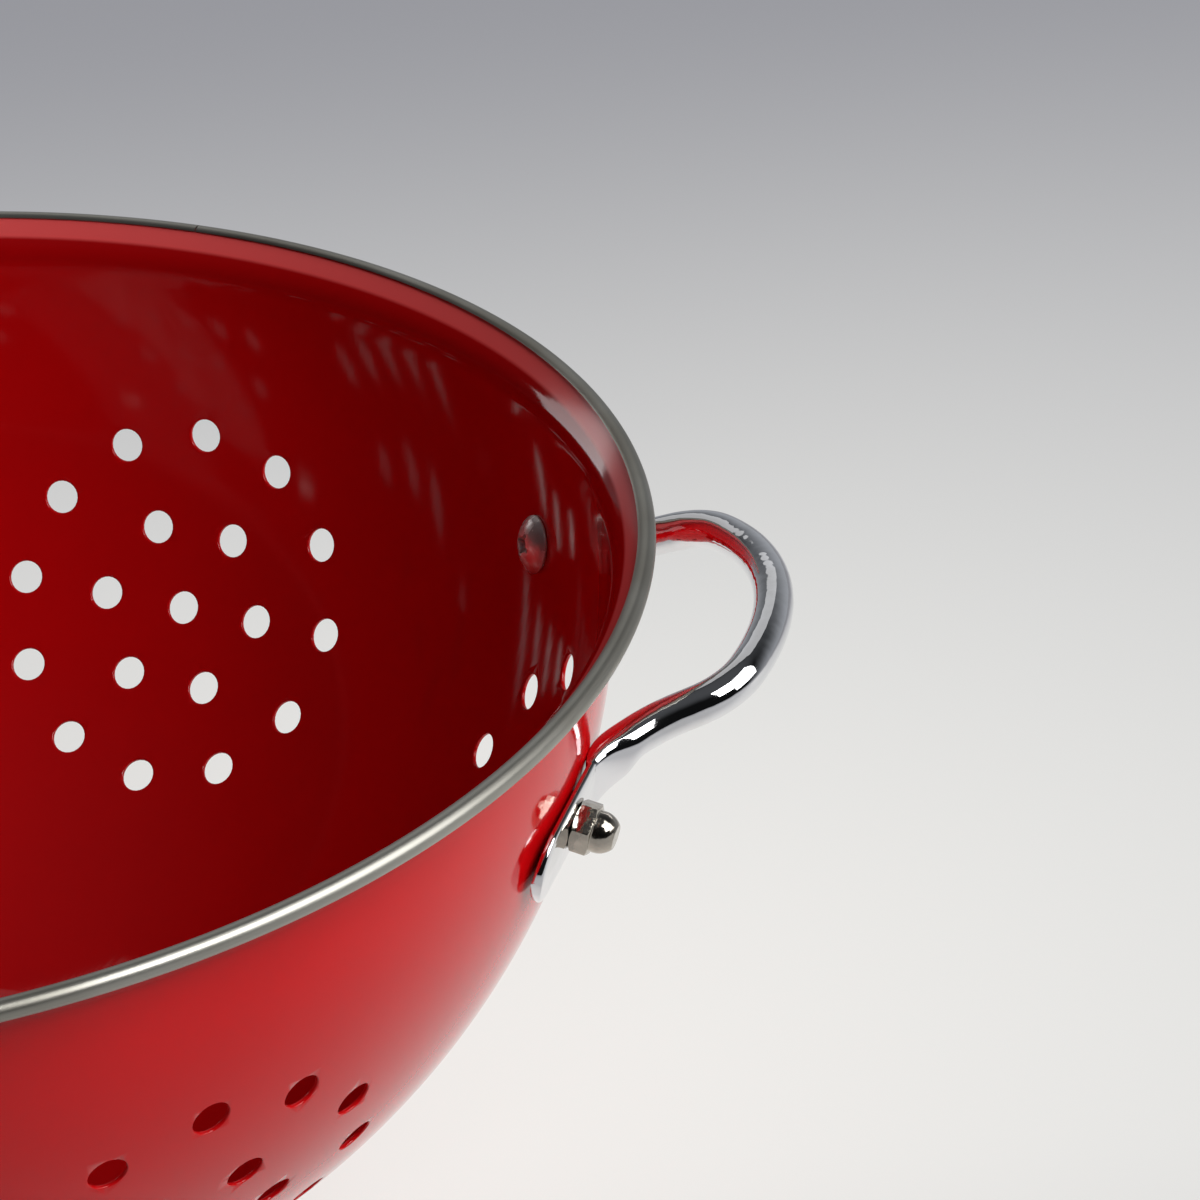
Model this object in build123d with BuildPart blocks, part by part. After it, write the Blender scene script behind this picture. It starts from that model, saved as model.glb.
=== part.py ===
from build123d import *
from math import acos, asin, atan2, cos, degrees, radians, sin, sqrt, tan
import os

os.makedirs("parts", exist_ok=True)

# Bowl: pressed steel with enamel on both sides, sizes in millimetres
rim_diameter = 254.0
bowl_sheet = 0.8
bowl_depth = 104.0
rim_overhang = 6.9
belly_drop = 1.7
wall_arc_spare = 2.0
floor_blend_radius = 20.0
flare_blend_radius = 6.0
flare_angle = 43.0
edge_curl_angle = 250.0

# Rim band: thin steel rolled round the bowl's curled edge, its two ends meeting at a seam
bead_diameter = 3.0
band_sheet = 0.3
band_clearance = 0.05
band_start_angle = 140.0
band_wrap_angle = 275.0
seam_gap = 0.25
seam_angle = 63.0

# Drain holes: clusters of one, six and twelve, level with the rim
drain_diameter = 5.6
drain_pitch = 14.8
inner_ring_count = 6
outer_ring_count = 12
wall_cluster_count = 6
cluster_drop = 59.9
cluster_turn = 1.5

# Foot ring: a separate pressed ring under the bowl, its upper flange lying on the bowl
foot_clearance = 10.0
foot_sheet = 0.8
foot_neck_reach = 39.9
foot_flange_width = 8.0
foot_spread = 3.0
foot_base_flange = 5.0
foot_blend_radius = 2.0
foot_seat_gap = 0.15

# Handle: one steel rod bent in one plane, its ends turned down and pressed flat into ears
rod_diameter = 6.0
rod_wall_gap = 2.6
handle_tilt = 15.65
handle_drop = 14.2
crown_radius = 41.0
crown_angle = 31.4
shoulder_radius = 11.45
shoulder_angle = 49.0
leg_length = 3.0
knee_radius = 20.0
knee_angle = 22.0
mount_reach = 11.6
mount_drop = 26.3
ear_droop_angle = 8.0
ear_thickness = 1.6
ear_width = 11.6
ear_tip_length = 15.0
ear_flat_length = 7.0
ear_back_length = 12.0
ear_seat_gap = 0.1
press_shares = [0.3, 0.65, 1.0]
press_forms = [0.3, 0.8, 1.0]
ear_round_share = 0.4
ear_step = 0.06

# Screws: domed heads inside the bowl
screw_diameter = 3.9
screw_hole_clearance = 0.2
screw_head_diameter = 9.4
screw_head_height = 2.4
screw_head_rim = 0.5
screw_length = 7.4
head_seat_gap = 0.15

# Acorn nuts: hexagon with a domed cap, against the ears
nut_sides = 6
nut_across_flats = 7.0
nut_turn = 9.0
nut_hexagon_height = 2.9
nut_chamfer_angle = 30.0
nut_dome_diameter = 6.2
nut_height = 6.6
nut_bore_depth = 5.0
nut_bore_clearance = 0.05
nut_seat_gap = 0.05

# Heights above the surface that the foot stands on
floor_height = foot_clearance + bowl_sheet
bead_height = floor_height + bowl_depth
bead_radius = bead_diameter / 2
bead_ring_radius = rim_diameter / 2 - bead_radius
curl_radius = bead_radius - band_sheet - band_clearance
wall_arc_radius = bowl_depth + wall_arc_spare
arc_centre_radius = rim_diameter / 2 - rim_overhang - wall_arc_radius
arc_centre_height = bead_height - belly_drop


def wall_radius(height, outward=0.0):
    """Radius at a height of the surface that stands outward of the bowl's inner wall."""
    reach = wall_arc_radius + outward
    return arc_centre_radius + sqrt(reach**2 - (height - arc_centre_height) ** 2)


def wall_plane(angle, drop, outward=0.0, turn=0.0):
    """Plane along the bowl's wall, z pointing out of it, x turned up from level."""
    height = bead_height - drop
    slope = asin((height - arc_centre_height) / wall_arc_radius)
    side = Vector(cos(radians(angle)), sin(radians(angle)), 0)
    level = Vector(-sin(radians(angle)), cos(radians(angle)), 0)
    normal = side * cos(slope) + Vector(0, 0, sin(slope))
    way = level * cos(radians(turn)) + normal.cross(level) * sin(radians(turn))
    point = side * wall_radius(height) + Vector(0, 0, height) + normal * outward
    return Plane(origin=point, x_dir=way, z_dir=normal)


def bowl_skin(depth):
    """One skin of the bowl's sheet, and the end of its curled edge.

    The depth is measured outward from the inner skin, so 0 gives that skin itself.
    """
    lean = radians(flare_angle)
    curl = curl_radius - depth
    flare_top = (bead_ring_radius - curl * cos(lean), bead_height + curl * sin(lean))
    across = arc_centre_radius - flare_top[0]
    below = arc_centre_height - flare_top[1]
    along = across * sin(lean) + below * cos(lean)
    aside = across * cos(lean) - below * sin(lean)
    reach = along + sqrt((wall_arc_radius + depth) ** 2 - aside**2)
    neck = (flare_top[0] + reach * sin(lean), flare_top[1] + reach * cos(lean))
    floor = floor_height - depth
    corner = (wall_radius(floor, depth), floor)
    centre = (arc_centre_radius, arc_centre_height)
    floor_turn = degrees(atan2(corner[1] - centre[1], corner[0] - centre[0]))
    neck_turn = degrees(atan2(neck[1] - centre[1], neck[0] - centre[0]))
    with BuildLine() as skin:
        Line((0, floor), corner)
        CenterArc(centre, wall_arc_radius + depth, floor_turn, neck_turn - floor_turn)
        Line(neck, flare_top)
        fillet(skin.vertices().sort_by_distance(corner)[0], floor_blend_radius + depth)
        fillet(skin.vertices().sort_by_distance(neck)[0], flare_blend_radius - depth)
        edge = CenterArc(
            (bead_ring_radius, bead_height), curl, 180 - flare_angle, -edge_curl_angle
        )
    return skin.line, edge @ 1


def rod_run(plane):
    """Centre line of the handle's rod on a plane, its end, and its way there."""
    with BuildLine(plane) as run:
        crown = CenterArc((-crown_radius, 0), crown_radius, -crown_angle, crown_angle * 2)
        shoulder = JernArc(crown @ 1, crown % 1, shoulder_radius, shoulder_angle)
        leg = Line(shoulder @ 1, shoulder @ 1 + (shoulder % 1) * leg_length)
        knee = JernArc(leg @ 1, leg % 1, knee_radius, -knee_angle)
        mirror([shoulder, leg, knee], about=Plane.XZ)
    return run.line, knee @ 1, knee % 1


# The handle stands so far out that the rod's ends come down beside the wall with a gap
flat_end = rod_run(Plane.XY)[1]
rod_end_height = bead_height - handle_drop + flat_end.X * sin(radians(handle_tilt))
rod_end_wall = sqrt(wall_radius(rod_end_height, bowl_sheet) ** 2 - flat_end.Y**2)
rod_end_reach = rod_end_wall + rod_wall_gap + rod_diameter / 2
loop_plane = Plane(
    origin=(
        rod_end_reach - flat_end.X * cos(radians(handle_tilt)),
        0,
        bead_height - handle_drop,
    ),
    x_dir=(cos(radians(handle_tilt)), 0, sin(radians(handle_tilt))),
    z_dir=(-sin(radians(handle_tilt)), 0, cos(radians(handle_tilt))),
)
rod_line, rod_end, rod_end_way = rod_run(loop_plane)

# Each screw sits a little farther from the handle's middle than the rod's end
mount_radius = wall_radius(bead_height - mount_drop)
mount_angle = degrees(asin((rod_end.Y + mount_reach) / mount_radius))

cluster_planes = [
    wall_plane(cluster_turn + 360 * index / wall_cluster_count, cluster_drop)
    for index in range(wall_cluster_count)
]
floor_plane = Plane.XY.offset(floor_height)
outer_ring_radius = 2 * drain_pitch
punch_reach = outer_ring_radius**2 / wall_arc_radius
mount_angles = [mount_angle, -mount_angle, 180 - mount_angle, 180 + mount_angle]
screw_planes = [wall_plane(angle, mount_drop) for angle in mount_angles]
inner_skin, inner_end = bowl_skin(0.0)
outer_skin, outer_end = bowl_skin(bowl_sheet)

with BuildPart() as bowl:
    with BuildSketch(Plane.XZ) as bowl_profile:
        with BuildLine() as bowl_lines:
            add(inner_skin)
            add(outer_skin)
            Line((0, floor_height), (0, floor_height - bowl_sheet))
            Line(inner_end, outer_end)
        make_face()
    revolve(axis=Axis.Z)
    with BuildSketch(*cluster_planes, floor_plane) as drain_holes:
        Circle(drain_diameter / 2)
        with PolarLocations(drain_pitch, inner_ring_count):
            Circle(drain_diameter / 2)
        with PolarLocations(outer_ring_radius, outer_ring_count):
            Circle(drain_diameter / 2)
    extrude(amount=punch_reach, both=True, mode=Mode.SUBTRACT)
    with BuildSketch(*screw_planes) as bowl_screw_holes:
        Circle(screw_diameter / 2 + screw_hole_clearance)
    extrude(amount=bowl_sheet * 2, both=True, mode=Mode.SUBTRACT)

bowl.part.label = "bowl"
export_step(bowl.part, "parts/bowl.step")

# Rim band, open at the seam
seam_turn = degrees(seam_gap / bead_ring_radius)
band_plane = Plane.XZ.rotated((0, 0, seam_angle + seam_turn / 2))

with BuildPart() as rim_band:
    with BuildSketch(band_plane) as band_profile:
        with BuildLine() as band_line:
            band_outside = CenterArc(
                (bead_ring_radius, bead_height), bead_radius, band_start_angle, -band_wrap_angle
            )
            band_inside = CenterArc(
                (bead_ring_radius, bead_height),
                bead_radius - band_sheet,
                band_start_angle,
                -band_wrap_angle,
            )
            Line(band_outside @ 0, band_inside @ 0)
            Line(band_outside @ 1, band_inside @ 1)
        make_face()
    revolve(axis=Axis.Z, revolution_arc=360 - seam_turn)

rim_band.part.label = "rim_band"
export_step(rim_band.part, "parts/rim_band.step")


def foot_skin(depth):
    """One skin of the foot ring, a depth inside its outer skin, and its two ends."""
    outward = bowl_sheet + foot_seat_gap + foot_sheet - depth
    reach = wall_arc_radius + outward
    flange_turn = -degrees(acos((foot_neck_reach + foot_flange_width) / reach))
    neck_turn = -degrees(acos((foot_neck_reach - depth) / reach))
    base_radius = arc_centre_radius + foot_neck_reach + foot_spread
    centre = (arc_centre_radius, arc_centre_height)
    with BuildLine() as skin:
        flange = CenterArc(centre, reach, flange_turn, neck_turn - flange_turn)
        neck = flange @ 1
        corner = (base_radius - depth, foot_sheet - depth)
        tip = (base_radius + foot_base_flange, foot_sheet - depth)
        Line(neck, corner)
        Line(corner, tip)
        fillet(skin.vertices().sort_by_distance(neck)[0], foot_blend_radius + depth)
        fillet(skin.vertices().sort_by_distance(corner)[0], foot_blend_radius + depth)
    return skin.line, flange @ 0, tip

foot_outside, outside_top, outside_base = foot_skin(0.0)
foot_inside, inside_top, inside_base = foot_skin(foot_sheet)

with BuildPart() as foot_ring:
    with BuildSketch(Plane.XZ) as foot_profile:
        with BuildLine() as foot_lines:
            add(foot_outside)
            add(foot_inside)
            Line(outside_top, inside_top)
            Line(outside_base, inside_base)
        make_face()
    revolve(axis=Axis.Z)

foot_ring.part.label = "foot_ring"
export_step(foot_ring.part, "parts/foot_ring.step")

# Ear: flat on the bowl, square to the screw, its length drooping a little round the bowl
ear_plane = wall_plane(mount_angle, mount_drop, bowl_sheet + ear_seat_gap, -ear_droop_angle)
ear_middle = ear_plane.offset(ear_thickness / 2)
ear_start = ear_middle.from_local_coords((-ear_flat_length, 0, 0))
rod_end_plane = Plane(origin=rod_end, x_dir=loop_plane.z_dir, z_dir=rod_end_way)
with BuildLine() as press_path:
    press_line = Spline(rod_end, ear_start, tangents=(rod_end_way, ear_plane.x_dir))

with BuildPart() as pressed_end:
    with BuildSketch(rod_end_plane) as press_start:
        Circle(rod_diameter / 2)
    for share, form in zip(press_shares, press_forms):
        way = press_line % share
        across = loop_plane.z_dir * (1 - form) + ear_plane.z_dir.cross(way) * form
        width = rod_diameter + (ear_width - ear_step * 2 - rod_diameter) * form
        height = rod_diameter + (ear_thickness - ear_step * 2 - rod_diameter) * form
        with BuildSketch(Plane(origin=press_line @ share, x_dir=across, z_dir=way)):
            Ellipse(width / 2, height / 2)
    loft()

with BuildPart() as ear:
    with BuildSketch(ear_plane) as ear_outline:
        with Locations(((ear_tip_length - ear_back_length) / 2, 0)):
            SlotOverall(ear_tip_length + ear_back_length, ear_width)
    extrude(amount=ear_thickness)
    ear_faces = ear.faces().sort_by(Axis(ear_plane.origin, ear_plane.z_dir))
    ear_edges = ear_faces[0].edges() + ear_faces[-1].edges()
    fillet(ear_edges, ear_thickness * ear_round_share)
    with BuildSketch(ear_plane) as ear_hole:
        Circle(screw_diameter / 2 + screw_hole_clearance)
    extrude(amount=ear_thickness, mode=Mode.SUBTRACT)

with BuildPart() as handle_right:
    with BuildSketch(rod_end_plane) as rod_section:
        Circle(rod_diameter / 2)
    sweep(path=rod_line.wires()[0])
    add(pressed_end.part)
    add(ear.part)
    mirror(pressed_end.part, about=Plane.XZ)
    mirror(ear.part, about=Plane.XZ)

handle_right.part.label = "handle_right"
export_step(handle_right.part, "parts/handle_right.step")

with BuildPart() as handle_left:
    mirror(handle_right.part, about=Plane.YZ)

handle_left.part.label = "handle_left"
export_step(handle_left.part, "parts/handle_left.step")

# Where the nuts start, measured out from the bowl's inner wall
nut_base = bowl_sheet + ear_seat_gap + ear_thickness + nut_seat_gap

# Planes of the four fasteners, each z along its screw and pointing out of the bowl
right_front = wall_plane(-mount_angle, mount_drop, 0.0, nut_turn)
right_back = wall_plane(mount_angle, mount_drop, 0.0, nut_turn)
left_front = wall_plane(180 + mount_angle, mount_drop, 0.0, nut_turn)
left_back = wall_plane(180 - mount_angle, mount_drop, 0.0, nut_turn)


def axial_plane(seat):
    """Plane that holds the fastener's axis: x along the seat, y out of the bowl."""
    return Plane(origin=seat.origin, x_dir=seat.x_dir, z_dir=-seat.y_dir)


def axis_of(seat):
    """Axis of the fastener that stands on a seat."""
    return Axis(seat.origin, seat.z_dir)


def screw_outline():
    """Half outline of a screw, x from its axis, y out of the bowl."""
    head_radius = screw_head_diameter / 2
    brim = -head_seat_gap - screw_head_rim
    crown = -head_seat_gap - screw_head_height
    rise = brim - crown
    dome_radius = (head_radius**2 + rise**2) / (rise * 2)
    dome_half = degrees(asin(head_radius / dome_radius))
    shank_radius = screw_diameter / 2
    with BuildLine() as outline:
        CenterArc((0, crown + dome_radius), dome_radius, -90, dome_half)
        Polyline(
            (head_radius, brim),
            (head_radius, -head_seat_gap),
            (shank_radius, -head_seat_gap),
            (shank_radius, screw_length - head_seat_gap),
            (0, screw_length - head_seat_gap),
            (0, crown),
        )
    return outline.line


def nut_outline():
    """Half outline of the nut's cap and chamfered body, x from its axis."""
    base = nut_base
    corner_radius = nut_across_flats / sqrt(3)
    flat_radius = nut_across_flats / 2
    slope = tan(radians(nut_chamfer_angle))
    dome_radius = nut_dome_diameter / 2
    dome_centre = base + nut_height - dome_radius
    shoulder_height = base + nut_hexagon_height
    low = (corner_radius - flat_radius) * slope
    bore_radius = screw_diameter / 2 + nut_bore_clearance
    with BuildLine() as outline:
        Polyline(
            (bore_radius, base),
            (flat_radius, base),
            (corner_radius, base + low),
            (corner_radius, shoulder_height - low),
            (flat_radius, shoulder_height),
            (dome_radius, shoulder_height),
            (dome_radius, dome_centre),
        )
        CenterArc((0, dome_centre), dome_radius, 0, 90)
        Polyline(
            (0, dome_centre + dome_radius),
            (0, base + nut_bore_depth),
            (bore_radius, base + nut_bore_depth),
            (bore_radius, base),
        )
    return outline.line


with BuildPart() as screw_right_front:
    with BuildSketch(axial_plane(right_front)) as screw_right_front_profile:
        with BuildLine() as screw_right_front_line:
            add(screw_outline())
        make_face()
    revolve(axis=axis_of(right_front))

screw_right_front.part.label = "screw_right_front"
export_step(screw_right_front.part, "parts/screw_right_front.step")

with BuildPart() as acorn_nut_right_front:
    with BuildSketch(axial_plane(right_front)) as nut_right_front_profile:
        with BuildLine() as nut_right_front_line:
            add(nut_outline())
        make_face()
    revolve(axis=axis_of(right_front))
    with BuildSketch(right_front) as nut_right_front_hexagon:
        RegularPolygon(nut_across_flats / 2, nut_sides, major_radius=False)
    extrude(amount=nut_base + nut_height, mode=Mode.INTERSECT)

acorn_nut_right_front.part.label = "acorn_nut_right_front"
export_step(acorn_nut_right_front.part, "parts/acorn_nut_right_front.step")

with BuildPart() as screw_right_back:
    with BuildSketch(axial_plane(right_back)) as screw_right_back_profile:
        with BuildLine() as screw_right_back_line:
            add(screw_outline())
        make_face()
    revolve(axis=axis_of(right_back))

screw_right_back.part.label = "screw_right_back"
export_step(screw_right_back.part, "parts/screw_right_back.step")

with BuildPart() as acorn_nut_right_back:
    with BuildSketch(axial_plane(right_back)) as nut_right_back_profile:
        with BuildLine() as nut_right_back_line:
            add(nut_outline())
        make_face()
    revolve(axis=axis_of(right_back))
    with BuildSketch(right_back) as nut_right_back_hexagon:
        RegularPolygon(nut_across_flats / 2, nut_sides, major_radius=False)
    extrude(amount=nut_base + nut_height, mode=Mode.INTERSECT)

acorn_nut_right_back.part.label = "acorn_nut_right_back"
export_step(acorn_nut_right_back.part, "parts/acorn_nut_right_back.step")

with BuildPart() as screw_left_front:
    with BuildSketch(axial_plane(left_front)) as screw_left_front_profile:
        with BuildLine() as screw_left_front_line:
            add(screw_outline())
        make_face()
    revolve(axis=axis_of(left_front))

screw_left_front.part.label = "screw_left_front"
export_step(screw_left_front.part, "parts/screw_left_front.step")

with BuildPart() as acorn_nut_left_front:
    with BuildSketch(axial_plane(left_front)) as nut_left_front_profile:
        with BuildLine() as nut_left_front_line:
            add(nut_outline())
        make_face()
    revolve(axis=axis_of(left_front))
    with BuildSketch(left_front) as nut_left_front_hexagon:
        RegularPolygon(nut_across_flats / 2, nut_sides, major_radius=False)
    extrude(amount=nut_base + nut_height, mode=Mode.INTERSECT)

acorn_nut_left_front.part.label = "acorn_nut_left_front"
export_step(acorn_nut_left_front.part, "parts/acorn_nut_left_front.step")

with BuildPart() as screw_left_back:
    with BuildSketch(axial_plane(left_back)) as screw_left_back_profile:
        with BuildLine() as screw_left_back_line:
            add(screw_outline())
        make_face()
    revolve(axis=axis_of(left_back))

screw_left_back.part.label = "screw_left_back"
export_step(screw_left_back.part, "parts/screw_left_back.step")

with BuildPart() as acorn_nut_left_back:
    with BuildSketch(axial_plane(left_back)) as nut_left_back_profile:
        with BuildLine() as nut_left_back_line:
            add(nut_outline())
        make_face()
    revolve(axis=axis_of(left_back))
    with BuildSketch(left_back) as nut_left_back_hexagon:
        RegularPolygon(nut_across_flats / 2, nut_sides, major_radius=False)
    extrude(amount=nut_base + nut_height, mode=Mode.INTERSECT)

acorn_nut_left_back.part.label = "acorn_nut_left_back"
export_step(acorn_nut_left_back.part, "parts/acorn_nut_left_back.step")
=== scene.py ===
"""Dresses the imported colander.

The bowl and its foot are enamelled, the rim band is bare steel, the handles and fasteners plated.
"""

from __future__ import annotations

import logging
import math
from dataclasses import dataclass
from enum import Enum
from typing import Callable, Iterable, Sequence

import bmesh
import bpy
from mathutils import Matrix, Vector

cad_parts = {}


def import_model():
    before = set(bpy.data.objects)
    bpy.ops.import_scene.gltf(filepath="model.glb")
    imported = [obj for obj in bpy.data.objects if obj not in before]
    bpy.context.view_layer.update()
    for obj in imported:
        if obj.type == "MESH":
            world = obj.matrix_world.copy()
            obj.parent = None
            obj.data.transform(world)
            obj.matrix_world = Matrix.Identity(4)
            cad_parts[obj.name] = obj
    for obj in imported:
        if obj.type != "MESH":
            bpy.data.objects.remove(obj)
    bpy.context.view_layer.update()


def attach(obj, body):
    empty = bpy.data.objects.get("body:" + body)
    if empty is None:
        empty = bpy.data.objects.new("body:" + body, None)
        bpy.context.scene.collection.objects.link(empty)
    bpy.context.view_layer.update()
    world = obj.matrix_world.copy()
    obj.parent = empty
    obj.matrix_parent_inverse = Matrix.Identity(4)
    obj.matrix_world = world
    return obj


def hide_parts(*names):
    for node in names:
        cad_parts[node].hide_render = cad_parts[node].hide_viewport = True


LOG = logging.getLogger("colander")
MM = 0.001
BODY = "root"
FULL_TURN = 360.0
WELD = 1.0e-7
CROWN_REACH = 1.0e-6

# A Mix node's inputs and output for colours, which share their names with others
MIX_INPUTS = (0, 6, 7)
MIX_RESULT = 2

Pair = tuple[float, float]
Triple = tuple[float, float, float]
Piece = bpy.types.Object
Material = bpy.types.Material
Socket = bpy.types.NodeSocket


class Slot(Enum):
    """Names of the material slots."""

    ENAMEL = "red_enamel"
    BAND = "band_steel"
    CHROME = "chrome"


class Side(Enum):
    """Which end of the bowl a handle is on, as its turn about the bowl's axis in degrees."""

    RIGHT = 0.0
    LEFT = 180.0


def dress(piece: Piece, finish: Material, node: str) -> None:
    """Give a piece its finish, hide the CAD node it stands for and attach it to its body.

    Args:
        piece: The finished mesh.
        finish: Its material.
        node: The CAD node.
    """
    piece.data.materials.clear()
    piece.data.materials.append(finish)
    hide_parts(node)
    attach(piece, BODY)


# Shaders


@dataclass(frozen=True)
class Grain:
    """A noise: its scale, its number of octaves and how strong the fine ones are."""

    scale: float
    detail: float
    rough: float


@dataclass
class Wire:
    """One output or number in a node tree, on which arithmetic adds Math nodes."""

    graph: Graph
    socket: Socket | float

    def apply(self, operation: str, *others: Wire | float) -> Wire:
        """Add a Math node.

        Args:
            operation: The node's operation.
            others: The operands after this one.

        Returns:
            The node's output.
        """
        made = self.graph.node("ShaderNodeMath", {"operation": operation})
        for socket, value in zip(made.inputs, (self, *others)):
            self.graph.feed(socket, value)
        return Wire(self.graph, made.outputs[0])

    def __add__(self, other: Wire | float) -> Wire:
        """Sum."""
        return self.apply("ADD", other)

    def __sub__(self, other: Wire | float) -> Wire:
        """Difference."""
        return self.apply("SUBTRACT", other)

    def __rsub__(self, other: float) -> Wire:
        """Difference with a number on the left."""
        return Wire(self.graph, other).apply("SUBTRACT", self)

    def __mul__(self, other: Wire | float) -> Wire:
        """Product."""
        return self.apply("MULTIPLY", other)

    __radd__ = __add__
    __rmul__ = __mul__

    def clamp(self) -> Wire:
        """Hold the value between 0 and 1.

        Returns:
            The held value.
        """
        held = self.apply("MULTIPLY", 1.0)
        held.socket.node.use_clamp = True
        return held

    def ramp(self, low: float, high: float) -> Wire:
        """Rise smoothly from 0 at low to 1 at high.

        Args:
            low: Value at which the result is 0.
            high: Value at which the result is 1.

        Returns:
            The smooth step.
        """
        made = self.graph.node(
            "ShaderNodeMapRange",
            {"interpolation_type": "SMOOTHSTEP"},
            Value=self,
            From_Min=low,
            From_Max=high,
        )
        return Wire(self.graph, made.outputs["Result"])


@dataclass
class Graph:
    """A node tree under construction, with one method for every kind of node."""

    tree: bpy.types.NodeTree

    def node(
        self, kind: str, settings: dict[str, object] | None = None, **values: object
    ) -> bpy.types.Node:
        """Add a node of any kind.

        Args:
            kind: The node's type.
            settings: Its properties, which are set before the sockets.
            values: Socket names, with underscores for spaces, and their values or wires.

        Returns:
            The new node.
        """
        made = self.tree.nodes.new(kind)
        for key, value in (settings or {}).items():
            setattr(made, key, value)
        for key, value in values.items():
            self.feed(made.inputs[key.replace("_", " ")], value)
        return made

    def feed(self, socket: Socket, value: object) -> None:
        """Link a wire to a socket, or set its value.

        Args:
            socket: The input to fill.
            value: A wire, a socket, a number or a colour.
        """
        if isinstance(value, Wire):
            value = value.socket
        if isinstance(value, bpy.types.NodeSocket):
            self.tree.links.new(value, socket)
        elif isinstance(value, tuple):
            socket.default_value = (*value, 1.0)
        else:
            socket.default_value = value

    def place(self, output: str = "Object") -> Socket:
        """Coordinates of the shaded point, those of the object in metres."""
        return self.node("ShaderNodeTexCoord").outputs[output]

    def axes(self, output: str = "Object") -> tuple[Wire, ...]:
        """The same coordinates as three numbers."""
        split = self.node("ShaderNodeSeparateXYZ", Vector=self.place(output))
        return tuple(Wire(self, out) for out in split.outputs)

    def polar(self) -> tuple[Wire, Wire, Wire]:
        """Turn round the Z axis, distance from it and height of the shaded point."""
        x, y, z = self.axes()
        return y.apply("ARCTAN2", x), (x * x + y * y).apply("SQRT"), z

    def vector(self, x: Wire | float, y: Wire | float, z: Wire | float) -> Socket:
        """A vector from three numbers."""
        return self.node("ShaderNodeCombineXYZ", X=x, Y=y, Z=z).outputs[0]

    def noise(self, vector: Socket, grain: Grain) -> Wire:
        """Noise from 0 to 1.

        Args:
            vector: Where it is read.
            grain: Its kind.

        Returns:
            The noise.
        """
        made = self.node(
            "ShaderNodeTexNoise",
            Vector=vector,
            Scale=grain.scale,
            Detail=grain.detail,
            Roughness=grain.rough,
        )
        return Wire(self, made.outputs["Fac"])

    def mix(self, share: Wire, first: object, second: object) -> Socket:
        """Mix two colours by a share.

        Args:
            share: 0 for the first colour, 1 for the second.
            first: The first colour.
            second: The second colour.

        Returns:
            The mixed colour.
        """
        made = self.node("ShaderNodeMix", {"data_type": "RGBA"})
        for index, value in zip(MIX_INPUTS, (share, first, second)):
            self.feed(made.inputs[index], value)
        return made.outputs[MIX_RESULT]

    def bump(self, height: Wire, distance: float) -> Socket:
        """A normal bumped by a height from 0 to 1, which stands for a distance in metres."""
        return self.node("ShaderNodeBump", Height=height, Distance=distance).outputs["Normal"]


class Paint(Graph):
    """A material under construction."""

    def __init__(self, name: str) -> None:
        """Start the material with an empty node tree.

        Args:
            name: The material's name.
        """
        self.material = bpy.data.materials.new(name)
        self.material.use_nodes = True
        super().__init__(self.material.node_tree)
        self.tree.nodes.clear()

    def close(self, shader: bpy.types.Node) -> Material:
        """Put a shader on the surface and give the finished material."""
        self.node("ShaderNodeOutputMaterial", Surface=shader.outputs[0])
        return self.material

    def surface(self, **values: object) -> Material:
        """Close the material with a Principled shader that has these values or wires."""
        return self.close(self.node("ShaderNodeBsdfPrincipled", **values))


@dataclass(frozen=True)
class EnamelFinish:
    """Glossy red vitreous enamel over steel, pooled below the flare, whose pale pink is a painted
    reflection of bright light above and behind.
    """

    name: str = "red_enamel"
    colour: Triple = (0.60, 0.0025, 0.0045)
    deep: Triple = (0.53, 0.0018, 0.0035)
    deep_span: Pair = (0.3, 0.75)
    painted_reflection: Triple = (0.86, 0.10, 0.10)
    # Painted reflection: the flare's pale colour, and the reach where it starts, stand in for the
    # bright light the flare mirrors
    painted_reflection_reach: Pair = (0.1220, 0.1226)
    pooled: Triple = (0.30, 0.001, 0.002)
    pooled_height: Pair = (0.1075, 0.1105)
    pooled_share: float = 0.6
    roughness: float = 0.07
    haze: float = 0.05
    haze_span: Pair = (0.55, 0.8)
    flare_haze: float = 0.1
    refraction: float = 1.38
    flow: Grain = Grain(6.0, 2.0, 0.5)
    flow_stretch: Pair = (9.0, 7.0)
    flow_share: float = 0.7
    peel: Grain = Grain(260.0, 2.0, 0.5)
    peel_share: float = 0.3
    cloud: Grain = Grain(14.0, 4.0, 0.55)
    relief: float = 0.000012

    def build(self) -> Material:
        """Make the enamel, with flow marks down the wall and a faint orange peel.

        Returns:
            The material.
        """
        paint = Paint(self.name)
        place = paint.place()
        turn, reach, height = paint.polar()
        across, down = self.flow_stretch
        flow = paint.noise(paint.vector(turn * across, height * down, 0.0), self.flow)
        peel = paint.noise(place, self.peel)
        cloud = paint.noise(place, self.cloud)
        upper = height.ramp(*self.pooled_height)
        flare = reach.ramp(*self.painted_reflection_reach) * upper
        colour = paint.mix(cloud.ramp(*self.deep_span), self.colour, self.deep)
        colour = paint.mix(upper * (1.0 - flare) * self.pooled_share, colour, self.pooled)
        # Painted reflection: the flare is painted pale pink in place of the light it mirrors
        colour = paint.mix(flare, colour, self.painted_reflection)
        haze = cloud.ramp(*self.haze_span) * self.haze + flare * self.flare_haze
        return paint.surface(
            Base_Color=colour,
            Roughness=self.roughness + haze,
            IOR=self.refraction,
            Normal=paint.bump(flow * self.flow_share + peel * self.peel_share, self.relief),
        )


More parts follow.
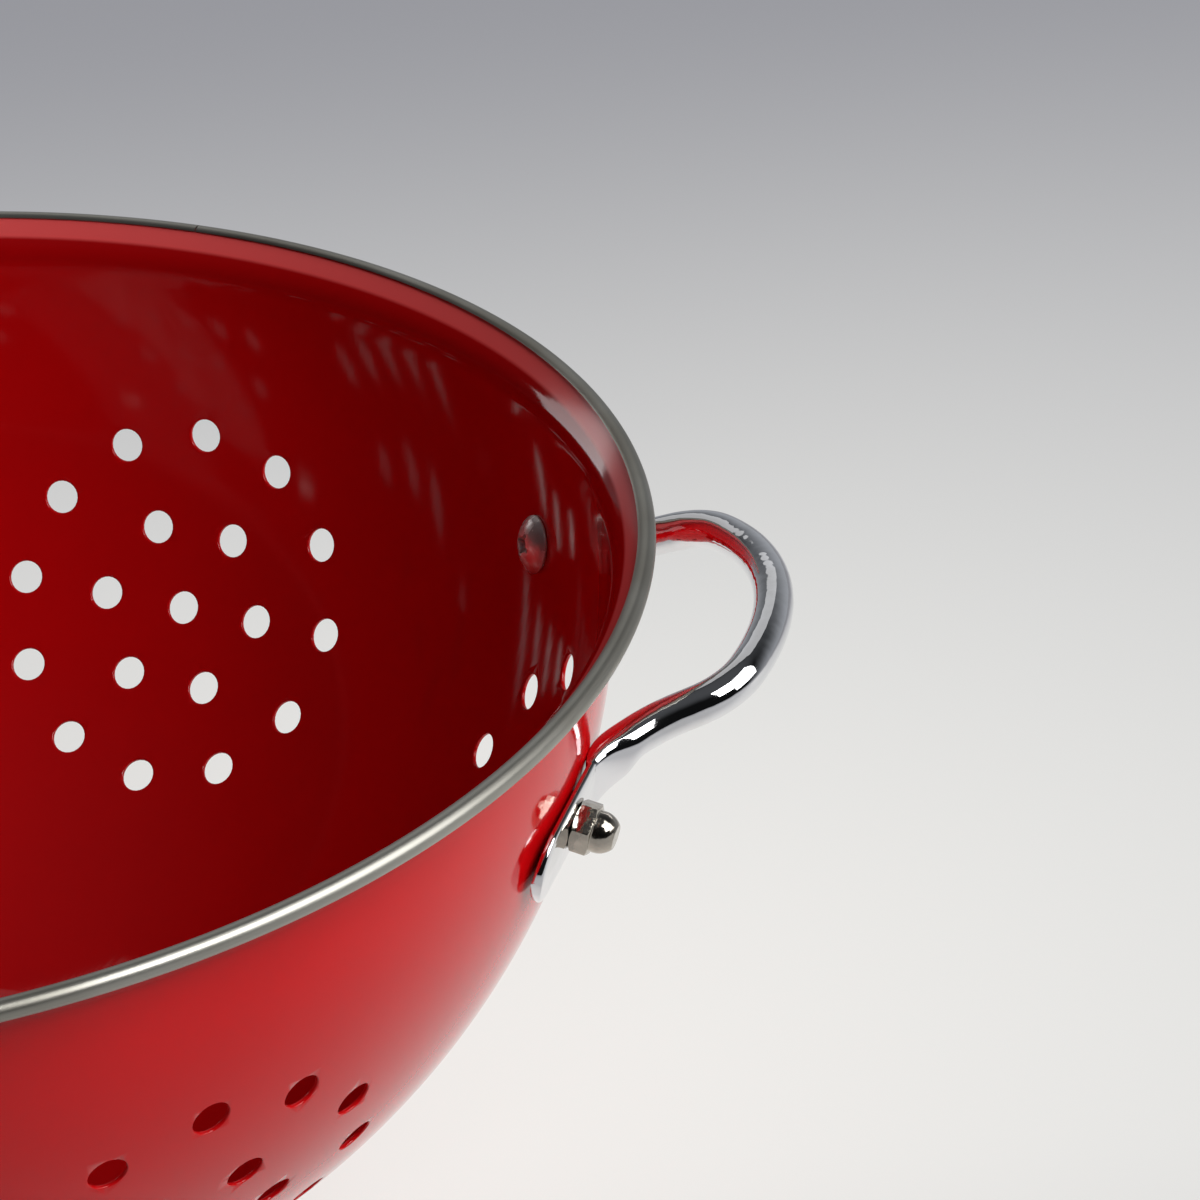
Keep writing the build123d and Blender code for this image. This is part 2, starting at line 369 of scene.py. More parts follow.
@dataclass(frozen=True)
class BandFinish:
    """Drawn stainless strip, its fine lines running along the rim."""

    name: str = "band_steel"
    colour: Triple = (0.41, 0.40, 0.36)
    stain: Triple = (0.29, 0.275, 0.235)
    stain_span: Pair = (0.35, 0.75)
    roughness: float = 0.30
    line_haze: float = 0.12
    cloud_haze: float = 0.08
    line: Grain = Grain(1.0, 3.0, 0.6)
    line_stretch: Pair = (2.0, 2500.0)
    cloud: Grain = Grain(30.0, 3.0, 0.6)
    relief: float = 0.00002

    def build(self) -> Material:
        """Make the steel, with lines along the rim and cloudy stains.

        Returns:
            The material.
        """
        paint = Paint(self.name)
        turn, reach, height = paint.polar()
        along, across = self.line_stretch
        place = paint.vector(turn * along, reach * across, height * across)
        lines = paint.noise(place, self.line)
        cloud = paint.noise(paint.place(), self.cloud)
        return paint.surface(
            Base_Color=paint.mix(cloud.ramp(*self.stain_span), self.colour, self.stain),
            Metallic=1.0,
            Roughness=self.roughness + lines * self.line_haze + cloud * self.cloud_haze,
            Normal=paint.bump(lines, self.relief),
        )


@dataclass(frozen=True)
class PlateFinish:
    """Plating on a steel piece, from polished to dull."""

    name: str
    colour: Triple
    dull: Triple
    roughness: float
    haze: float
    scale: float
    metal: float = 1.0
    dull_span: Pair = (0.45, 0.8)
    haze_span: Pair = (0.4, 0.85)
    ripple_scale: float = 2.2
    relief: float = 0.00012

    def build(self) -> Material:
        """Make the plating, with slight ripples under the polish and faint dull patches.

        Returns:
            The material.
        """
        paint = Paint(self.name)
        place = paint.place()
        cloud = paint.noise(place, Grain(self.scale, 4.0, 0.6))
        ripple = paint.noise(place, Grain(self.scale * self.ripple_scale, 2.0, 0.5))
        return paint.surface(
            Base_Color=paint.mix(cloud.ramp(*self.dull_span), self.colour, self.dull),
            Metallic=self.metal,
            Roughness=self.roughness + cloud.ramp(*self.haze_span) * self.haze,
            Normal=paint.bump(ripple, self.relief),
        )


# Modelling


class Bench:
    """Modelling steps in Blender's own operators."""

    @staticmethod
    def clear() -> None:
        """Leave edit mode and select nothing."""
        if bpy.context.object and bpy.context.object.mode != "OBJECT":
            bpy.ops.object.mode_set(mode="OBJECT")
        bpy.ops.object.select_all(action="DESELECT")

    @staticmethod
    def hold(*pieces: Piece) -> None:
        """Select some pieces alone.

        Args:
            pieces: The pieces, of which the first becomes the active one.
        """
        Bench.clear()
        for piece in pieces:
            piece.select_set(True)
        bpy.context.view_layer.objects.active = pieces[0]

    @staticmethod
    def edit(piece: Piece) -> None:
        """Enter edit mode on one piece."""
        Bench.hold(piece)
        bpy.ops.object.mode_set(mode="EDIT")

    @staticmethod
    def done() -> Piece:
        """Leave edit mode and settle the active piece's place into its mesh.

        Returns:
            The piece.
        """
        if bpy.context.object.mode != "OBJECT":
            bpy.ops.object.mode_set(mode="OBJECT")
        bpy.ops.object.transform_apply(location=True, rotation=True, scale=True)
        return bpy.context.object

    @staticmethod
    def pick(piece: Piece, kind: str, test: Callable[[object], bool]) -> None:
        """In edit mode, select the vertices, edges or faces that a test accepts.

        Args:
            piece: The piece being edited.
            kind: VERT, EDGE or FACE.
            test: Takes one element, while what was selected still is.
        """
        bpy.ops.mesh.select_mode(type=kind)
        mesh = bmesh.from_edit_mesh(piece.data)
        items = {"VERT": mesh.verts, "EDGE": mesh.edges, "FACE": mesh.faces}[kind]
        accepted = [item for item in items if test(item)]
        bpy.ops.mesh.select_all(action="DESELECT")
        for item in accepted:
            item.select = True
        mesh.select_flush_mode()
        bmesh.update_edit_mesh(piece.data)

    @staticmethod
    def lathe(
        name: str,
        profile: Sequence[Pair],
        steps: int,
        closed: bool = False,
        start: float = 0.0,
        sweep: float = FULL_TURN,
    ) -> Piece:
        """Turn a profile round the Z axis.

        Args:
            name: The piece's name.
            profile: Radius and height of each point, in millimetres.
            steps: Steps of the turn.
            closed: Whether the profile joins up with itself.
            start: Turn of the profile's plane, in degrees.
            sweep: How far it is turned, in degrees; less than a full turn leaves closed ends.

        Returns:
            The turned piece.
        """
        way = Vector((math.cos(math.radians(start)), math.sin(math.radians(start)), 0.0))
        points = [(way * radius + Vector((0.0, 0.0, height))) * MM for radius, height in profile]
        Bench.clear()
        bpy.ops.mesh.primitive_plane_add(size=MM, location=points[0])
        piece = bpy.context.object
        piece.name = piece.data.name = name
        bpy.ops.object.mode_set(mode="EDIT")
        bpy.ops.mesh.select_mode(type="VERT")
        bpy.ops.mesh.select_all(action="SELECT")
        bpy.ops.mesh.merge(type="CENTER")
        for last, following in zip(points, points[1:]):
            bpy.ops.mesh.extrude_region_move(TRANSFORM_OT_translate={"value": following - last})
        if closed:
            Bench.pick(piece, "VERT", lambda vert: len(vert.link_edges) == 1)
            bpy.ops.mesh.edge_face_add()
        bpy.ops.mesh.select_all(action="SELECT")
        if closed and sweep < FULL_TURN:
            bpy.ops.mesh.edge_face_add()
        bpy.ops.mesh.spin(
            steps=steps,
            angle=math.radians(sweep),
            center=(0.0, 0.0, 0.0),
            axis=(0.0, 0.0, 1.0),
            use_auto_merge=False,
        )
        bpy.ops.mesh.select_all(action="SELECT")
        bpy.ops.mesh.remove_doubles(threshold=WELD)
        if sweep < FULL_TURN:
            bpy.ops.mesh.select_all(action="DESELECT")
            bpy.ops.mesh.select_non_manifold()
            bpy.ops.mesh.edge_face_add()
            bpy.ops.mesh.select_all(action="SELECT")
        bpy.ops.mesh.normals_make_consistent(inside=False)
        return Bench.done()

    @staticmethod
    def modify(piece: Piece, kind: str, **settings: object) -> None:
        """Add a modifier and apply it.

        Args:
            piece: The piece to change.
            kind: The modifier's type.
            settings: Its properties.
        """
        Bench.hold(piece)
        made = piece.modifiers.new(kind.lower(), kind)
        for key, value in settings.items():
            setattr(made, key, value)
        bpy.ops.object.modifier_apply(modifier=made.name)

    @staticmethod
    def bevel(piece: Piece, width: float, segments: int, angle: float) -> None:
        """Bevel the edges past an angle in degrees, by a width in millimetres."""
        Bench.modify(piece, "BEVEL", width=width * MM, segments=segments,
                     limit_method="ANGLE", angle_limit=math.radians(angle))

    @staticmethod
    def carve(piece: Piece, tool: Piece, way: str = "DIFFERENCE") -> None:
        """Cut a piece with a closed tool by one of the Boolean ways, and throw the tool away."""
        Bench.modify(piece, "BOOLEAN", operation=way, object=tool, solver="EXACT")
        bpy.data.objects.remove(tool)

    @staticmethod
    def copy(piece: Piece, name: str, place: Matrix) -> Piece:
        """Copy a piece with its own mesh and settle it in a new place.

        Args:
            piece: The piece to copy.
            name: The copy's name.
            place: Where it goes, in metres.

        Returns:
            The copy.
        """
        made = piece.copy()
        made.data = piece.data.copy()
        made.name = made.data.name = name
        bpy.context.scene.collection.objects.link(made)
        made.matrix_world = place
        Bench.hold(made)
        return Bench.done()

    @staticmethod
    def join(pieces: Iterable[Piece], name: str) -> Piece:
        """Join pieces into one.

        Args:
            pieces: The pieces.
            name: Name of the joined piece.

        Returns:
            The joined piece.
        """
        Bench.hold(*pieces)
        bpy.ops.object.join()
        joined = bpy.context.object
        joined.name = joined.data.name = name
        return Bench.done()

    @staticmethod
    def smooth(piece: Piece, angle: float) -> None:
        """Shade smooth, with sharp edges past an angle in degrees."""
        Bench.hold(piece)
        bpy.ops.object.shade_smooth_by_angle(angle=math.radians(angle))


def arc(centre: Pair, radius: float, start: float, end: float, count: int) -> list[Pair]:
    """Points along an arc, both ends among them.

    Args:
        centre: The arc's centre.
        radius: Its radius.
        start: First angle in degrees.
        end: Last angle in degrees.
        count: Number of steps.

    Returns:
        The points.
    """
    points = []
    for index in range(count + 1):
        turn = math.radians(start + (end - start) * index / count)
        points.append((centre[0] + radius * math.cos(turn), centre[1] + radius * math.sin(turn)))
    return points


@dataclass
class WallShape:
    """The bowl's wall in millimetres, shared by all that lies on it."""

    sheet: float = 0.8
    floor_height: float = 10.8
    bead_height: float = 114.8
    bead_ring: float = 125.5
    bead_radius: float = 1.5
    curl: float = 1.15
    curl_angle: float = 250.0
    flare_angle: float = 43.0
    wall_radius: float = 106.0
    centre: Pair = (14.1, 113.1)
    floor_blend: float = 20.0
    flare_blend: float = 6.0
    mount_drop: float = 26.3
    floor_shares: tuple[float, ...] = (0.0, 0.3, 0.6, 0.8)
    blend_steps: int = 10
    wall_steps: int = 48
    flare_steps: int = 6
    curl_steps: int = 14

    @property
    def bead(self) -> Pair:
        """Radius and height of the middle of the curled edge."""
        return self.bead_ring, self.bead_height

    @property
    def mount_height(self) -> float:
        """Height of the handle screws on the inner wall."""
        return self.bead_height - self.mount_drop

    def radius(self, height: float, outward: float = 0.0) -> float:
        """Radius at a height of the surface that stands outward of the inner wall."""
        drop = height - self.centre[1]
        return self.centre[0] + math.sqrt((self.wall_radius + outward) ** 2 - drop**2)

    def seat(self, angle: float, height: float, outward: float = 0.0, turn: float = 0.0) -> Matrix:
        """A place on the wall: z out of the bowl, x level and then turned up.

        Args:
            angle: Where round the bowl, in degrees.
            height: Height of the place on the inner wall.
            outward: How far out of the inner wall.
            turn: Turn about the wall's normal, in degrees.

        Returns:
            The place, in metres.
        """
        slope = math.asin((height - self.centre[1]) / self.wall_radius)
        around = math.radians(angle)
        side = Vector((math.cos(around), math.sin(around), 0.0))
        level = Vector((-math.sin(around), math.cos(around), 0.0))
        normal = side * math.cos(slope) + Vector((0.0, 0.0, math.sin(slope)))
        rise = normal.cross(level)
        tilt = math.radians(turn)
        x_axis = level * math.cos(tilt) + rise * math.sin(tilt)
        point = side * self.radius(height) + Vector((0.0, 0.0, height)) + normal * outward
        frame = Matrix((x_axis, normal.cross(x_axis), normal)).transposed()
        return Matrix.Translation(point * MM) @ frame.to_4x4()

    def neck(self) -> Vector:
        """Find the arc that blends the wall into the flare.

        Returns:
            Radius and height of its centre.
        """
        lean = math.radians(self.flare_angle)
        way = Vector((math.sin(lean), math.cos(lean)))
        beside = Vector((math.cos(lean), -math.sin(lean)))
        tip = Vector((self.bead_ring - self.curl * math.cos(lean),
                      self.bead_height + self.curl * math.sin(lean)))
        start = tip + beside * self.flare_blend
        offset = start - Vector(self.centre)
        along = offset.dot(way)
        reach = self.wall_radius + self.flare_blend
        root = math.sqrt(along**2 - offset.length_squared + reach**2)
        return start + way * min(-along - root, -along + root, key=abs)

    def skin(self, depth: float) -> list[Pair]:
        """Points of one skin of the sheet, from the axis to the end of the curled edge.

        Args:
            depth: Depth into the sheet, from the inner skin.

        Returns:
            Radius and height of each point.
        """
        a_r, a_h = self.centre
        reach = self.wall_radius - self.floor_blend
        blend_h = self.floor_height + self.floor_blend
        blend_r = a_r + math.sqrt(reach**2 - (a_h - blend_h) ** 2)
        low = math.degrees(math.atan2(blend_h - a_h, blend_r - a_r))
        neck = self.neck()
        high = math.degrees(math.atan2(neck.y - a_h, neck.x - a_r))
        lip = 180.0 - self.flare_angle
        points = [(blend_r * share, self.floor_height - depth) for share in self.floor_shares]
        points += arc((blend_r, blend_h), self.floor_blend + depth, -90.0, low, self.blend_steps)
        points += arc(self.centre, self.wall_radius + depth, low, high, self.wall_steps)[1:]
        points += arc(tuple(neck), self.flare_blend - depth, high + 180.0, lip,
                      self.flare_steps)[1:]
        points += arc(self.bead, self.curl - depth, lip, lip - self.curl_angle, self.curl_steps)
        return points

    def off_skin(self, point: Vector) -> float:
        """How far a point lies from the nearer skin of wall or floor.

        Args:
            point: The point, in metres.

        Returns:
            The distance, in millimetres.
        """
        place = point / MM
        reach = math.hypot(place.x, place.y)
        out = math.hypot(reach - self.centre[0], place.z - self.centre[1]) - self.wall_radius
        down = self.floor_height - place.z
        return min(abs(out), abs(out - self.sheet), abs(down), abs(down - self.sheet))


@dataclass
class Bowl:
    """The enamelled bowl with its clusters of drain holes."""

    shape: WallShape
    finish: Material
    mount_angle: float
    steps: int = 240
    drain_radius: float = 2.8
    drain_pitch: float = 14.8
    rings: tuple[tuple[int, int], ...] = ((6, 1), (12, 2))
    cluster_count: int = 6
    cluster_turn: float = 1.5
    cluster_drop: float = 59.9
    screw_radius: float = 2.15
    lip: float = 0.3
    lip_end: float = 110.0
    lip_steps: int = 4
    mouth: float = 0.35
    cutter_reach: float = 1.3
    cutter_steps: int = 24
    punch_rounds: int = 12
    skin_reach: float = 0.012

    def cutter(self, radius: float) -> Piece:
        """A cutter for one hole, flared at both skins so that the lips come out round.

        Args:
            radius: The hole's radius.

        Returns:
            The cutter, its middle at the origin.
        """
        flat = self.shape.sheet / 2 - self.lip
        lip = arc((radius + self.lip, flat), self.lip, 180.0, self.lip_end, self.lip_steps)
        lean = math.radians(self.lip_end - 90.0)
        wide = lip[-1][0] + self.mouth * math.cos(lean)
        upper = [*lip, (wide, lip[-1][1] + self.mouth * math.sin(lean)),
                 (wide, self.cutter_reach), (0.0, self.cutter_reach)]
        lower = [(r, -h) for r, h in reversed(upper)]
        return Bench.lathe("hole_cutter", lower + upper, self.cutter_steps)

    def holes(self) -> list[Matrix]:
        """Find every drain hole.

        Returns:
            The holes' places, in metres.
        """
        spots = [(0.0, 0.0)]
        for count, number in self.rings:
            reach = self.drain_pitch * number
            for index in range(count):
                turn = 2 * math.pi * index / count
                spots.append((reach * math.cos(turn), reach * math.sin(turn)))
        height = self.shape.bead_height - self.cluster_drop
        places = []
        for index in range(self.cluster_count):
            seat = self.shape.seat(self.cluster_turn + 360.0 * index / self.cluster_count, height)
            places += [self.on_wall(seat, x, y) for x, y in spots]
        middle = self.shape.floor_height - self.shape.sheet / 2
        places += [Matrix.Translation(Vector((x, y, middle)) * MM) for x, y in spots]
        return places

    def on_wall(self, seat: Matrix, x: float, y: float) -> Matrix:
        """Follow the punch from a spot on the cluster's plane to the wall.

        Args:
            seat: The cluster's place, in metres.
            x: Level distance from its middle, in millimetres.
            y: Distance up the wall.

        Returns:
            The hole's place at the middle of the sheet, in metres, square to the wall there.
        """
        normal = seat.to_3x3() @ Vector((0.0, 0.0, 1.0))
        point = (seat @ Vector((x * MM, y * MM, 0.0))) / MM
        for _ in range(self.punch_rounds):
            reach = math.hypot(point.x, point.y)
            away = Vector((point.x / reach, point.y / reach, 0.0)) * (
                reach - self.shape.centre[0]
            ) + Vector((0.0, 0.0, point.z - self.shape.centre[1]))
            error = away.length - (self.shape.wall_radius + self.shape.sheet / 2)
            point -= normal * (error / away.normalized().dot(normal))
        away.normalize()
        turn = away.to_track_quat("Z", "Y")
        return Matrix.Translation(point * MM) @ turn.to_matrix().to_4x4()

    def build(self) -> Piece:
        """Model the bowl, cut its holes and dress it.

        Returns:
            The bowl.
        """
        profile = self.shape.skin(0.0) + list(reversed(self.shape.skin(self.shape.sheet)))
        bowl = Bench.lathe("enamelled_bowl", profile, self.steps)
        Bench.hold(bowl)
        bpy.ops.object.shade_smooth()
        plain = Bench.copy(bowl, "plain_bowl", Matrix.Identity(4))
        drain = self.cutter(self.drain_radius)
        cutters = [Bench.copy(drain, "drain", place) for place in self.holes()]
        screw = self.cutter(self.screw_radius)
        for angle in (self.mount_angle, -self.mount_angle,
                      180.0 - self.mount_angle, 180.0 + self.mount_angle):
            seat = self.shape.seat(angle, self.shape.mount_height, self.shape.sheet / 2)
            cutters.append(Bench.copy(screw, "drain", seat))
        bpy.data.objects.remove(drain)
        bpy.data.objects.remove(screw)
        Bench.carve(bowl, Bench.join(cutters, "hole_cutters"))
        self.keep_wall_shading(bowl, plain)
        dress(bowl, self.finish, "bowl")
        return bowl

    def keep_wall_shading(self, bowl: Piece, plain: Piece) -> None:
        """Give the wall round the holes the even shading of the bowl without holes.

        Args:
            bowl: The bowl with its holes.
            plain: The same bowl without holes, which is thrown away.
        """
        Bench.hold(bowl)
        bpy.ops.object.shade_smooth()
        group = bowl.vertex_groups.new(name="wall")
        on_wall = [v.index for v in bowl.data.vertices
                   if self.shape.off_skin(v.co) < self.skin_reach]
        group.add(on_wall, 1.0, "REPLACE")
        Bench.modify(
            bowl,
            "DATA_TRANSFER",
            object=plain,
            use_loop_data=True,
            data_types_loops={"CUSTOM_NORMAL"},
            loop_mapping="POLYINTERP_NEAREST",
            vertex_group=group.name,
        )
        bowl.vertex_groups.clear()
        bpy.data.objects.remove(plain)


@dataclass
class RimBand:
    """Thin steel strip rolled round the bowl's edge, with a butt seam."""

    shape: WallShape
    finish: Material
    sheet: float = 0.3
    start: float = 140.0
    wrap: float = 275.0
    outer_steps: int = 26
    inner_steps: int = 20
    seam_gap: float = 0.25
    seam_angle: float = 63.0
    steps: int = 300
    sharp: float = 35.0

    def build(self) -> Piece:
        """Turn the rolled section round the bowl, leaving the seam open.

        Returns:
            The band.
        """
        end = self.start - self.wrap
        radius = self.shape.bead_radius
        outer = arc(self.shape.bead, radius, self.start, end, self.outer_steps)
        inner = arc(self.shape.bead, radius - self.sheet, end, self.start, self.inner_steps)
        gap = math.degrees(self.seam_gap / self.shape.bead_ring)
        band = Bench.lathe("rolled_rim_band", outer + inner, self.steps, closed=True,
                           start=self.seam_angle + gap / 2, sweep=FULL_TURN - gap)
        Bench.smooth(band, self.sharp)
        dress(band, self.finish, "rim_band")
        return band


@dataclass
class FootRing:
    """Enamelled stand ring: a flange that follows the bowl, a neck and a base flange."""

    shape: WallShape
    finish: Material
    sheet: float = 0.8
    seat_gap: float = 0.15
    neck_reach: float = 39.9
    flange_width: float = 8.0
    flange_steps: int = 8
    spread: float = 3.0
    base_flange: float = 5.0
    edge_round: float = 0.3
    round_steps: int = 3
    round_angle: float = 30.0
    steps: int = 160
    sharp: float = 40.0

    def build(self) -> Piece:
        """Turn the ring's section, its edges and folds rounded by a bevel.

        Returns:
            The ring.
        """
        reach = self.shape.wall_radius + self.shape.sheet + self.seat_gap
        centre = self.shape.centre
        skins = []
        for depth in (0.0, self.sheet):
            outward = reach + self.sheet - depth
            flange = -math.degrees(math.acos((self.neck_reach + self.flange_width) / outward))
            neck = -math.degrees(math.acos((self.neck_reach - depth) / outward))
            base = centre[0] + self.neck_reach + self.spread
            top = self.sheet - depth
            skins.append([*arc(centre, outward, flange, neck, self.flange_steps),
                          (base - depth, top), (base + self.base_flange, top)])
        profile = skins[0] + list(reversed(skins[1]))
        ring = Bench.lathe("enamelled_foot_ring", profile, self.steps, closed=True)
        Bench.bevel(ring, self.edge_round, self.round_steps, self.round_angle)
        Bench.smooth(ring, self.sharp)
        dress(ring, self.finish, "foot_ring")
        return ring


@dataclass(frozen=True)
class Bend:
    """A stretch of the rod's centre line, an arc or, without a sweep, a straight run.

    Its size is the arc's radius, below 0 where it bends back, or the run's length.
    """

    size: float
    sweep: float
    steps: int

    @property
    def turn(self) -> float:
        """Turn of one step, in degrees."""
        return math.copysign(self.sweep / self.steps, self.size) if self.sweep else 0.0

    @property
    def step(self) -> float:
        """Length of one step."""
        chord = 2 * abs(self.size) * math.sin(math.radians(abs(self.turn) / 2))
        return chord if self.sweep else self.size / self.steps


@dataclass
class Section:
    """One cross section of the handle, in millimetres; a squareness of 2 makes it round."""

    centre: Vector
    way: Vector
    across: Vector
    width: float
    height: float
    squareness: float = 2.0


@dataclass
class Handle:
    """One rod bent in a plane, its ends pressed flat into ears, polished and plated."""

    shape: WallShape
    finish: Material
    rod: float = 6.0
    tilt: float = 15.65
    wall_gap: float = 2.6
    drop: float = 14.2
    crown: Bend = Bend(41.0, 31.4, 22)
    shoulder: Bend = Bend(11.45, 49.0, 14)
    leg: Bend = Bend(3.0, 0.0, 2)
    knee: Bend = Bend(-20.0, 22.0, 10)
    press_steps: int = 18
    mount_reach: float = 11.6
    droop: float = 8.0
    thickness: float = 1.6
    ear_width: float = 11.6
    ear_steps: int = 8
    ear_squareness: float = 4.0
    tip: float = 15.0
    tip_angles: tuple[float, ...] = (12, 24, 36, 47, 57, 66, 74, 80.5)
    flat: float = 7.0
    seat_gap: float = 0.1
    hole_radius: float = 2.15
    hole_steps: int = 32
    drill_reach: float = 3.0
    sides: int = 36
    sharp: float = 50.0

    @property
    def mount_angle(self) -> float:
        """Where round the bowl the ears' holes are, in degrees to either side."""
        side = self.flat_run()[-1][0].y + self.mount_reach
        return math.degrees(math.asin(side / self.shape.radius(self.shape.mount_height)))

    @property
    def ear_seat(self) -> Matrix:
        """Place of the back ear's hole on the bowl, x along the ear to its tip."""
        lift = self.shape.sheet + self.seat_gap
        return self.shape.seat(self.mount_angle, self.shape.mount_height, lift, -self.droop)

    def flat_run(self) -> list[tuple[Vector, float]]:
        """Half of the rod's centre line in its own plane.

        Returns:
            Each point in millimetres, with the heading there in degrees.
        """
        run = []
        place, heading = Vector((0.0, 0.0)), 90.0
        for bend in (self.crown, self.shoulder, self.leg, self.knee):
            for _ in range(bend.steps):
                run.append((place.copy(), heading))
                middle = math.radians(heading + bend.turn / 2)
                place = place + Vector((math.cos(middle), math.sin(middle))) * bend.step
                heading += bend.turn
        run.append((place, heading))
        return run

    def sections(self) -> list[Section]:
        """Cross sections of the back half.

        Returns:
            The sections, from the crown to the tip of the ear.
        """
        tilt = math.radians(self.tilt)
        out = Vector((math.cos(tilt), 0.0, math.sin(tilt)))
        up = Vector((-math.sin(tilt), 0.0, math.cos(tilt)))
        side = Vector((0.0, 1.0, 0.0))
        run = self.flat_run()
        end = run[-1][0]
        height = self.shape.bead_height - self.drop
        wall = self.shape.radius(height + end.x * out.z, self.shape.sheet)
        reach = math.sqrt(wall**2 - end.y**2) + self.wall_gap + self.rod / 2
        origin = Vector((reach - end.x * out.x, 0.0, height))
        made = []
        for place, heading in run:
            turn = math.radians(heading)
            way = out * math.cos(turn) + side * math.sin(turn)
            centre = origin + out * place.x + side * place.y
            made.append(Section(centre, way, up, self.rod, self.rod))
        mount = self.ear_seat
        along = mount.to_3x3() @ Vector((1.0, 0.0, 0.0))
        normal = mount.to_3x3() @ Vector((0.0, 0.0, 1.0))
        middle = mount.translation / MM + normal * (self.thickness / 2)
        made += self.press(made[-1], middle - along * self.flat, along, normal, up)
        across = normal.cross(along)
        bend = self.ear_width / 2
        straight = self.flat + self.tip - bend
        stops = [straight * i / self.ear_steps - self.flat for i in range(1, self.ear_steps + 1)]
        stops += [self.tip - bend + bend * math.sin(math.radians(a)) for a in self.tip_angles]
        for stop in stops:
            past = max(0.0, stop - self.tip + bend)
            width = 2 * math.sqrt(bend**2 - past**2)
            made.append(Section(middle + along * stop, along, across, width,
                                self.thickness, self.ear_squareness))
        return made

    def press(
        self, last: Section, start: Vector, along: Vector, normal: Vector, up: Vector
    ) -> list[Section]:
        """Sections of the pressed end, which go from the round rod to the flat ear.

        Their centres follow a cubic that leaves both ends in the right direction.

        Args:
            last: The rod's last round section.
            start: Where the flat ear starts.
            along: Way of the ear.
            normal: Way out of the bowl at the ear.
            up: Normal of the rod's plane.

        Returns:
            The sections.
        """
        span = (start - last.centre).length
        made = []
        for index in range(1, self.press_steps + 1):
            t = index / self.press_steps
            centre = (last.centre * (2 * t**3 - 3 * t**2 + 1)
                      + last.way * span * (t**3 - 2 * t**2 + t)
                      + start * (3 * t**2 - 2 * t**3) + along * span * (t**3 - t**2))
            way = (last.centre * (6 * t**2 - 6 * t)
                   + last.way * span * (3 * t**2 - 4 * t + 1)
                   + start * (6 * t - 6 * t**2) + along * span * (3 * t**2 - 2 * t)).normalized()
            form = t * t * (3 - 2 * t)
            across = up * (1 - form) + normal.cross(way) * form
            across = (across - way * across.dot(way)).normalized()
            width = self.rod + (self.ear_width - self.rod) * form
            height = self.rod + (self.thickness - self.rod) * form
            squareness = last.squareness + (self.ear_squareness - last.squareness) * form
            made.append(Section(centre, way, across, width, height, squareness))
        return made

    def ring(self, section: Section) -> Piece:
        """Make one cross section as a loop of edges.

        Args:
            section: The section.

        Returns:
            The loop, placed and shaped.
        """
        bpy.ops.mesh.primitive_circle_add(vertices=self.sides, radius=MM, location=(0, 0, 0))
        loop = bpy.context.object
        power = 2.0 / section.squareness
        third = section.way.cross(section.across)
        for vert in loop.data.vertices:
            x, y = vert.co.x / MM, vert.co.y / MM
            x = math.copysign(abs(x) ** power, x) * section.width / 2
            y = math.copysign(abs(y) ** power, y) * section.height / 2
            vert.co = (section.centre + section.across * x + third * y) * MM
        return loop

    def half(self) -> Piece:
        """Model the back half of the handle.

        Returns:
            The half, open at the crown and closed at the tip of the ear.
        """
        Bench.clear()
        half = Bench.join([self.ring(section) for section in self.sections()], "handle_half")
        Bench.edit(half)
        bpy.ops.mesh.select_mode(type="EDGE")
        bpy.ops.mesh.select_all(action="SELECT")
        bpy.ops.mesh.bridge_edge_loops()
        bpy.ops.mesh.select_all(action="DESELECT")
        bpy.ops.mesh.select_non_manifold()
        Bench.pick(half, "EDGE", lambda edge: edge.select and any(
            abs(vert.co.y) >= CROWN_REACH for vert in edge.verts))
        bpy.ops.mesh.edge_face_add()
        return Bench.done()

    def build(self, side: Side, pattern: Piece | None) -> Piece:
        """Model the handle, or turn a copy of the modelled one, and dress it.

        Args:
            side: Which end of the bowl it is on.
            pattern: The handle that is copied, or None for the first one.

        Returns:
            The handle.
        """
        end = side.name.lower()
        name = f"rod_handle_{end}"
        if pattern is None:
            handle = self.half()
            handle.name = handle.data.name = name
            Bench.modify(handle, "MIRROR", use_axis=(False, True, False),
                         use_clip=True, merge_threshold=CROWN_REACH)
            Bench.edit(handle)
            bpy.ops.mesh.select_all(action="SELECT")
            bpy.ops.mesh.remove_doubles(threshold=WELD)
            bpy.ops.mesh.normals_make_consistent(inside=False)
            Bench.done()
            self.bore(handle)
            Bench.smooth(handle, self.sharp)
        else:
            turn = Matrix.Rotation(math.radians(side.value), 4, "Z")
            handle = Bench.copy(pattern, name, turn)
        dress(handle, self.finish, f"handle_{end}")
        return handle

    def bore(self, handle: Piece) -> None:
        """Bore both ears for their screws.

        Args:
            handle: The whole handle.
        """
        reach = self.drill_reach
        drill = Bench.lathe("drill", [(0.0, -reach), (self.hole_radius, -reach),
                                      (self.hole_radius, reach), (0.0, reach)], self.hole_steps)
        flip = Matrix.Scale(-1.0, 4, Vector((0.0, 1.0, 0.0)))
        back = Bench.copy(drill, "drill_back", self.ear_seat)
        front = Bench.copy(drill, "drill_front", flip @ self.ear_seat @ flip)
        bpy.data.objects.remove(drill)
        Bench.carve(handle, Bench.join([back, front], "drills"))


